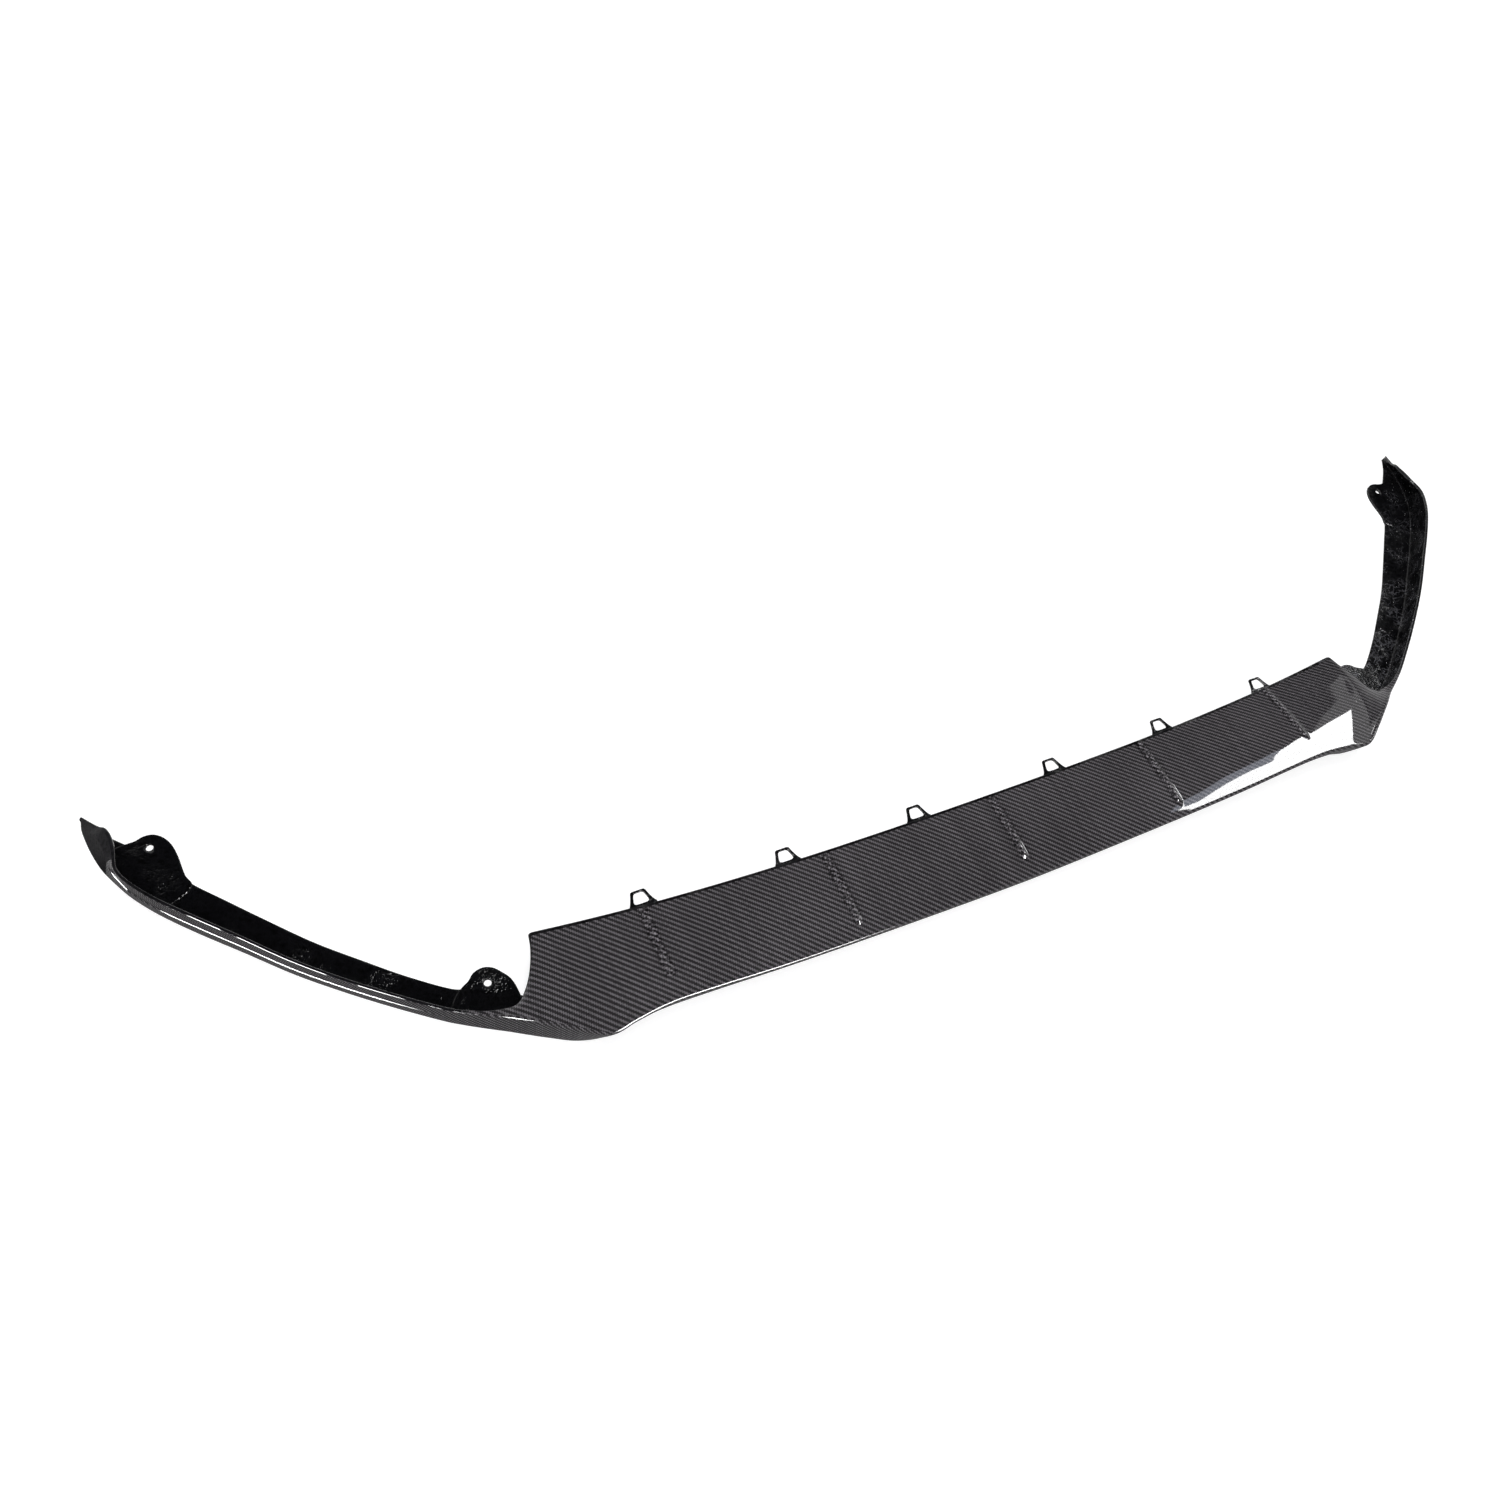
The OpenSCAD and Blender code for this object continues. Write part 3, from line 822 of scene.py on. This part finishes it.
class LIP_OT_shell(Operator):
    """Draws the moulded shell with its ribs, section by section"""
    bl_idname = "lip.shell"
    bl_label = "Moulded shell"

    def execute(self, context):
        sizes = context.scene.lip_sizes
        right = half_stations()
        stations = [(u, -1) for u in reversed(right[1:])] + [(u, 1) for u in right]
        sections = {}
        for u in right:
            outer, inner = outer_line(u, sizes), inner_line(u)
            n = inward(u)
            if len(outer) != len(inner):
                raise RuntimeError("the outer and inner lines differ in length")
            wall = len(DECK_SHARES) + 6
            for k, p in enumerate(inner):
                rise = lump(p, sizes)
                if 1 <= k <= 4:
                    inner[k] = p + UP * rise
                elif 5 <= k < len(inner) - wall:
                    inner[k] = p + (n + UP * 0.6) * rise
            sections[u] = outer + inner
        bm = bmesh.new()
        bm.verts.layers.float.new("rib")
        tag = {}
        ring = None
        for i, (u, side) in enumerate(stations):
            points = [mirrored(p, side) for p in sections[u]]
            ring = ring_of(bm, points) if ring is None else draw_on(bm, ring, points)
            if i in (0, len(stations) - 1):
                self.close_end(bm, ring)
            for j, v in enumerate(ring):
                tag[v] = (i, j)
        bmesh.ops.recalc_face_normals(bm, faces=bm.faces)
        self.dress(bm, tag, stations, sections, right)
        finishes = [bpy.data.materials[k] for k in (
            "gloss_twill", "black_resin", "plain_gloss", "rim_gloss")]
        piece = finish_piece("moulded_shell", bm, finishes)
        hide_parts(NODE)
        smooth = piece.modifiers.new("Smoothing", "SUBSURF")
        smooth.levels = sizes.smooth_steps
        smooth.render_levels = sizes.smooth_steps
        return {"FINISHED"}

    @staticmethod
    def close_end(bm, ring):
        """Closes an end of the shell with a strip across its wall."""
        last = len(ring) - 1
        for j in range(len(ring) // 2 - 1):
            four = [ring[j], ring[j + 1], ring[last - j - 1], ring[last - j]]
            bmesh.ops.contextual_create(bm, geom=four)

    @staticmethod
    def dress(bm, tag, stations, sections, right):
        """Lays the weave along the shell and parts the moulded from the open side."""
        path, run = {}, 0.0
        for a, b in zip([right[0]] + right, right):
            if b > CORNER:
                run += (sections[b][DECK_END] - sections[a][DECK_END]).length
            path[b] = run
        corner = next(u for u in right if u >= CORNER)
        spread = []
        for u, side in stations:
            line = sections[u]
            base = line[DECK_END] if u <= CORNER else sections[corner][DECK_END]
            across = [0.0] * len(line)
            for j in range(DECK_END + 1, len(line)):
                across[j] = across[j - 1] + (line[j] - line[j - 1]).length
            for j in range(DECK_END - 1, -1, -1):
                across[j] = across[j + 1] - (line[j] - line[j + 1]).length
            spread.append([(side * (base.x + path[u]), w - base.y) for w in across])
        # The rib cover is a mask for the painted highlights and shade on the ribs in the twill's
        # colour.
        on_rib = bm.verts.layers.float["rib"]
        for v, (i, j) in tag.items():
            v[on_rib] = rib_cover(v.co.x / MM, stations[i][0], v.co.y / MM) if j <= DECK_END else 0
        uv = bm.loops.layers.uv.new("weave")
        for f in bm.faces:
            at = [tag[v] for v in f.verts]
            deck = max(j for _, j in at) <= DECK_END and max(stations[i][0] for i, _ in at) <= ARM
            rear_edge_strip = max(j for _, j in at) <= 2
            open_side = min(j for _, j in at) >= INNER_FIRST - 1 or rear_edge_strip or (
                max(j for _, j in at) == len(spread[0]) - 1 and min(j for _, j in at) == 0)
            first = min(stations[i][0] for i, _ in at)
            rim_top = first >= ARM and max(j for _, j in at) <= DECK_END + ROLL_POINTS // 2
            fin = first >= CREASE + 1.5
            f.material_index = 1 if open_side else 2 if fin else 3 if rim_top else 0
            for loop in f.loops:
                i, j = tag[loop.vert]
                if deck:
                    loop[uv].uv = (loop.vert.co.x, -loop.vert.co.y)
                else:
                    loop[uv].uv = (spread[i][j][0] * MM, spread[i][j][1] * MM)


def closed_curve(points, steps):
    out = []
    n = len(points)
    for i in range(n):
        four = [points[(i + k) % n] for k in (-1, 0, 1, 2)]
        out += [curve(four, 1 + k / steps, points[i]) for k in range(steps)]
    return out


def matched_ring(outline, centre, place):
    """Points of the inner ring in the directions of the outline's points."""
    out = []
    for p in outline:
        a = math.atan2(p.y - centre.y, p.x - centre.x)
        out.append(centre + place(a))
    return out


def plate(outline, hole, z_low, z_high, edge_r):
    """A flat plate with a hole, its edges rounded: rings drawn up and over."""
    bm = bmesh.new()

    def level(points, centre_points, f, z):
        return [Vector((*mix(p, q, f).xy, z)) for p, q in zip(points, centre_points)]

    def shrunk(points, d):
        n = len(points)
        out = []
        for k, p in enumerate(points):
            along = (points[(k + 1) % n] - points[k - 1]).normalized()
            out.append(Vector((p.x - along.y * d, p.y + along.x * d, 0)))
        return out

    rings = []
    for d, z in ((edge_r, z_low), (0.3 * edge_r, z_low + 0.3 * edge_r), (0, z_low + edge_r),
                 (0, z_high - edge_r), (0.3 * edge_r, z_high - 0.3 * edge_r), (edge_r, z_high)):
        rings.append([Vector((*p.xy, z)) for p in shrunk(outline, d)])
    for f in (0.06, 0.5, 0.94):
        rings.append(level(shrunk(outline, edge_r), shrunk(hole, -edge_r), f, z_high))
    for d, z in ((-edge_r, z_high), (-0.3 * edge_r, z_high - 0.3 * edge_r),
                 (0, z_high - edge_r), (0, z_low + edge_r),
                 (-0.3 * edge_r, z_low + 0.3 * edge_r), (-edge_r, z_low)):
        rings.append([Vector((*p.xy, z)) for p in shrunk(hole, d)])
    ring = first = ring_of(bm, rings[0])
    for points in rings[1:]:
        ring = draw_on(bm, ring, points)
    bmesh.ops.bridge_loops(bm, edges=ring_edges(bm, ring) + ring_edges(bm, first))
    return bm


class LIP_OT_ears(Operator):
    """Makes the screw ears on the flanges"""
    bl_idname = "lip.ears"
    bl_label = "Screw ears"

    def execute(self, context):
        resin = bpy.data.materials["black_resin"]
        for name, at, outline in (("rear_ear", REAR_EAR, REAR_EAR_OUTLINE),
                                  ("front_ear", FRONT_EAR, FRONT_EAR_OUTLINE)):
            centre = Vector((*at, 0))
            edge = closed_curve(outline, 3)
            hole = matched_ring(edge, centre, lambda a: Vector(
                (math.cos(a), math.sin(a), 0)) * EAR_HOLE_D / 2)
            for side, word in ((1, "right"), (-1, "left")):
                bm = plate(edge, hole, 0.05, EAR_T, 0.7)
                if side < 0:
                    bmesh.ops.scale(bm, vec=(-1, 1, 1), verts=bm.verts)
                bmesh.ops.recalc_face_normals(bm, faces=bm.faces)
                finish_piece(f"{name}_{word}", bm, [resin])
        return {"FINISHED"}


def loop_outline():
    """Outline of a clip loop from its root, against the clock, and its hole."""
    root = -2 * LOOP_BAR
    half = [(0, root), (LOOP_ROOT_W / 2 - 5, root), (LOOP_ROOT_W / 2, root + 1), (LOOP_ROOT_W / 2, 0)]
    for k in range(1, 7):
        half.append((mix(LOOP_ROOT_W, LOOP_W, (k / 6) ** 0.7) / 2, (LOOP_REACH - LOOP_R) * k / 6))
    for k in range(1, 6):
        a = math.radians(90 * k / 5)
        half.append((LOOP_W / 2 - LOOP_R + LOOP_R * math.cos(a),
                     LOOP_REACH - LOOP_R + LOOP_R * math.sin(a)))
    half += [(LOOP_W / 4, LOOP_REACH), (0, LOOP_REACH)]
    full = half + [(-x, y) for x, y in reversed(half[1:-1])]
    low, high = LOOP_REACH - LOOP_BAR - LOOP_HOLE_L, LOOP_REACH - LOOP_BAR
    cx, cy = 0.0, (low + high) / 2
    hole = []
    for x, y in full:
        a = math.atan2((y - cy) * LOOP_HOLE_W / LOOP_HOLE_L, x - cx)
        p = 5.0
        r = (abs(math.cos(a)) ** p + abs(math.sin(a)) ** p) ** (-1 / p)
        wide = LOOP_HOLE_W * (1 - LOOP_TAPER * r * math.sin(a))
        hole.append((r * math.cos(a) * wide / 2, cy + r * math.sin(a) * LOOP_HOLE_L / 2))
    return full, hole


class LIP_OT_loops(Operator):
    """Makes the clip loops along the rear edge of the deck"""
    bl_idname = "lip.loops"
    bl_label = "Clip loops"

    def execute(self, context):
        resin = bpy.data.materials["black_resin"]
        full, hole = loop_outline()
        for k, x in enumerate(sorted([-x for x in LOOP_X] + list(LOOP_X))):
            u = self.station(abs(x))
            z = rear_edge(u).z - SKIN_T / 2
            at = Vector((x, sweep(x), 0))
            bm = plate([Vector((*p, 0)) + at for p in full], [Vector((*p, 0)) + at for p in hole],
                       z - LOOP_T / 2, z + LOOP_T / 2, 0.5)
            bmesh.ops.recalc_face_normals(bm, faces=bm.faces)
            finish_piece(f"clip_loop_{k + 1}", bm, [resin])
        return {"FINISHED"}

    @staticmethod
    def station(x):
        k = max(i for i, p in enumerate(REAR_ROWS) if p.x <= x)
        return k + (x - REAR_ROWS[k].x) / (REAR_ROWS[k + 1].x - REAR_ROWS[k].x)


# Outlines of the softbox over the right side, of its soft border and of the grey
# wall beside it, in millimetres at their height over the floor
SOFTBOX_Z = 600
SOFTBOX = ((605, 52), (578, 57), (578, 62), (620, 75), (680, 115), (730, 144), (780, 160),
           (796, 182), (825, 203), (890, 233), (932, 238), (975, 252), (1014, 262), (985, 130),
           (958, 123), (915, 126), (845, 120), (760, 100), (710, 87), (665, 74))
SOFTBOX_BORDER = ((565, 57), (590, 92), (637, 114), (695, 152), (746, 177), (800, 202),
                  (830, 208), (900, 215), (900, 130), (700, 95))
SOFTBOX_SIDE = ((900, 200), (958, 266), (1015, 330), (1033, 411), (1075, 440), (1160, 450),
                (1160, 0), (900, 0))


class LIP_OT_stage(Operator):
    """Makes the floor, the studio light and the camera"""
    bl_idname = "lip.stage"
    bl_label = "Stage"

    def execute(self, context):
        scene = context.scene
        stage = scene.lip_stage
        self.floor(stage)
        self.room(scene, stage)
        self.cards(stage)
        self.lamps(scene, stage)
        self.camera(scene, stage)
        scene.view_settings.view_transform = "Standard"
        return {"FINISHED"}

    @staticmethod
    def flat(name, bm, material):
        """A flat sheet of the stage."""
        mesh = bpy.data.meshes.new(name)
        bm.to_mesh(mesh)
        bm.free()
        mesh.materials.append(material)
        sheet = bpy.data.objects.new(name, mesh)
        bpy.context.scene.collection.objects.link(sheet)
        return sheet

    @staticmethod
    def seen_rays(g):
        """One where a ray comes from the camera, a mirror or glass."""
        path = g.node("ShaderNodeLightPath")
        return g.math("MAXIMUM", path.outputs["Is Camera Ray"], g.math(
            "MAXIMUM", path.outputs["Is Glossy Ray"], path.outputs["Is Transmission Ray"]))

    def floor(self, stage):
        made = bpy.data.materials.new("floor_white")
        made.use_nodes = True
        tree = made.node_tree
        tree.nodes.clear()
        g = Graph(tree)
        diffuse = g.node("ShaderNodeBsdfDiffuse")
        diffuse.inputs[0].default_value = (0.5, 0.5, 0.505, 1)
        white = g.node("ShaderNodeEmission")
        far = g.node("ShaderNodeVectorMath", operation="LENGTH")
        g.link(g.node("ShaderNodeTexCoord").outputs["Object"], far.inputs[0])
        glow = g.span(far.outputs["Value"], 1.1, 2.4, stage.floor_glow, 1.0)
        g.link(g.math("MULTIPLY", self.seen_rays(g), glow), white.inputs["Strength"])
        both = g.node("ShaderNodeAddShader")
        g.link(diffuse.outputs[0], both.inputs[0])
        g.link(white.outputs[0], both.inputs[1])
        g.link(both.outputs[0], g.node("ShaderNodeOutputMaterial").inputs[0])
        bm = bmesh.new()
        bmesh.ops.create_circle(bm, cap_ends=True, segments=96, radius=30)
        self.flat("floor", bm, made)

    def cards(self, stage):
        """The softbox over the right side with its soft border, seen only in the gloss."""
        for name, outline, drop, strength, tint in (
                ("softbox_card", SOFTBOX, 4, stage.softbox, (1, 1, 1, 1)),
                ("border_card", SOFTBOX_BORDER, 2, 0.14 * stage.softbox, (0.8, 0.86, 1, 1)),
                ("side_card", SOFTBOX_SIDE, 0, 0.04 * stage.softbox, (1, 1, 1, 1))):
            made = bpy.data.materials.new(name)
            made.use_nodes = True
            tree = made.node_tree
            tree.nodes.clear()
            g = Graph(tree)
            light = g.node("ShaderNodeEmission")
            light.inputs["Color"].default_value = tint
            light.inputs["Strength"].default_value = strength
            g.link(light.outputs[0], g.node("ShaderNodeOutputMaterial").inputs[0])
            bm = bmesh.new()
            ring = ring_of(bm, [Vector((x, y, SOFTBOX_Z - drop)) for x, y in outline])
            bmesh.ops.contextual_create(bm, geom=ring_edges(bm, ring))
            card = self.flat(name, bm, made)
            card.visible_camera = card.visible_diffuse = card.visible_shadow = False
            card.visible_transmission = False

    @staticmethod
    def room(scene, stage):
        """A plain room: white round the horizon where it is seen, dimmer overhead."""
        world = bpy.data.worlds.new("room")
        scene.world = world
        world.use_nodes = True
        tree = world.node_tree
        tree.nodes.clear()
        g = Graph(tree)
        path = g.node("ShaderNodeLightPath")
        split = g.node("ShaderNodeSeparateXYZ")
        g.link(g.node("ShaderNodeTexCoord").outputs["Generated"], split.inputs[0])
        wall = g.span(split.outputs["Z"], 0.35, 0.6, 0.8, stage.ceiling)
        mirrored_rays = g.math("MAXIMUM", path.outputs["Is Glossy Ray"],
                               path.outputs["Is Transmission Ray"])
        strength = g.math("ADD", g.math("MULTIPLY", mirrored_rays, wall), g.math(
            "MULTIPLY", g.math("SUBTRACT", 1.0, mirrored_rays), stage.sky))
        strength = g.math("MAXIMUM", strength, path.outputs["Is Camera Ray"])
        back = g.node("ShaderNodeBackground")
        back.inputs["Color"].default_value = (1, 1, 1, 1)
        g.link(strength, back.inputs["Strength"])
        g.link(back.outputs[0], g.node("ShaderNodeOutputWorld").inputs[0])

    @staticmethod
    def lamp(scene, name, at, target, size, power, mirrored):
        """An area lamp that either lights the object or is mirrored by it."""
        light = bpy.data.lights.new(name, "AREA")
        light.shape = "RECTANGLE"
        light.size, light.size_y = size
        light.energy = power
        made = bpy.data.objects.new(name, light)
        scene.collection.objects.link(made)
        made.location = at
        made.rotation_euler = (Vector(target) - Vector(at)).to_track_quat("-Z", "Y").to_euler()
        made.visible_camera = False
        made.visible_diffuse, made.visible_glossy = not mirrored, mirrored

    def lamps(self, scene, stage):
        self.lamp(scene, "overhead_softbox", (-0.2, 0.4, 2.2), (-0.1, 0.1, 0), (1.8, 1.4),
                  stage.overhead_power, mirrored=False)
        self.lamp(scene, "fill_lamp", (-0.4, -1.7, 2.0), (0, 0.1, 0), (1.4, 0.8),
                  stage.fill_power, mirrored=False)
        self.lamp(scene, "front_strip", (0.1, -0.65, 1.35), (-0.36, 0, 0.04), (0.42, 0.9),
                  stage.front_power, mirrored=True)
        self.lamp(scene, "left_strip", (-2.1, -0.5, 0.97), (-0.75, 0.2, 0.03), (1.0, 1.2),
                  stage.left_power, mirrored=True)

    @staticmethod
    def camera(scene, stage):
        right = Vector((0.9004153, -0.40611963, 0.15594591))
        up = Vector((0.28191096, 0.81773106, 0.50183874))
        ahead = Vector((0.33132838, 0.40790042, -0.85078714))
        data = bpy.data.cameras.new("camera")
        data.lens = stage.lens
        data.sensor_width = 36
        camera = bpy.data.objects.new("camera", data)
        scene.collection.objects.link(camera)
        turn = Matrix((right, up, -ahead)).transposed().to_4x4()
        camera.matrix_world = Matrix.Translation((-0.65663, -0.29384, 1.13657)) @ turn
        scene.camera = camera


class LIP_PT_panel(Panel):
    """Shows the lip's settings and the buttons that build it."""
    bl_label = "Splitter lip"
    bl_idname = "LIP_PT_panel"
    bl_space_type = "VIEW_3D"
    bl_region_type = "UI"
    bl_category = "Splitter lip"

    def draw(self, context):
        for group in ("lip_sizes", "lip_finish", "lip_stage"):
            settings = getattr(context.scene, group)
            for key in settings.bl_rna.properties.keys():
                if key not in ("rna_type", "name"):
                    self.layout.prop(settings, key)
        for operator in OPERATORS:
            self.layout.operator(operator.bl_idname)


OPERATORS = (LIP_OT_finishes, LIP_OT_shell, LIP_OT_ears, LIP_OT_loops, LIP_OT_stage)
CLASSES = (LipSizes, LipFinish, LipStage) + OPERATORS + (LIP_PT_panel,)


def register():
    for c in CLASSES:
        bpy.utils.register_class(c)
    bpy.types.Scene.lip_sizes = PointerProperty(type=LipSizes)
    bpy.types.Scene.lip_finish = PointerProperty(type=LipFinish)
    bpy.types.Scene.lip_stage = PointerProperty(type=LipStage)


def unregister():
    del bpy.types.Scene.lip_stage, bpy.types.Scene.lip_finish, bpy.types.Scene.lip_sizes
    for c in reversed(CLASSES):
        bpy.utils.unregister_class(c)


def main():
    register()
    bpy.ops.lip.finishes()
    bpy.ops.lip.shell()
    bpy.ops.lip.ears()
    bpy.ops.lip.loops()
    bpy.ops.lip.stage()


if __name__ == "__main__":
    main()
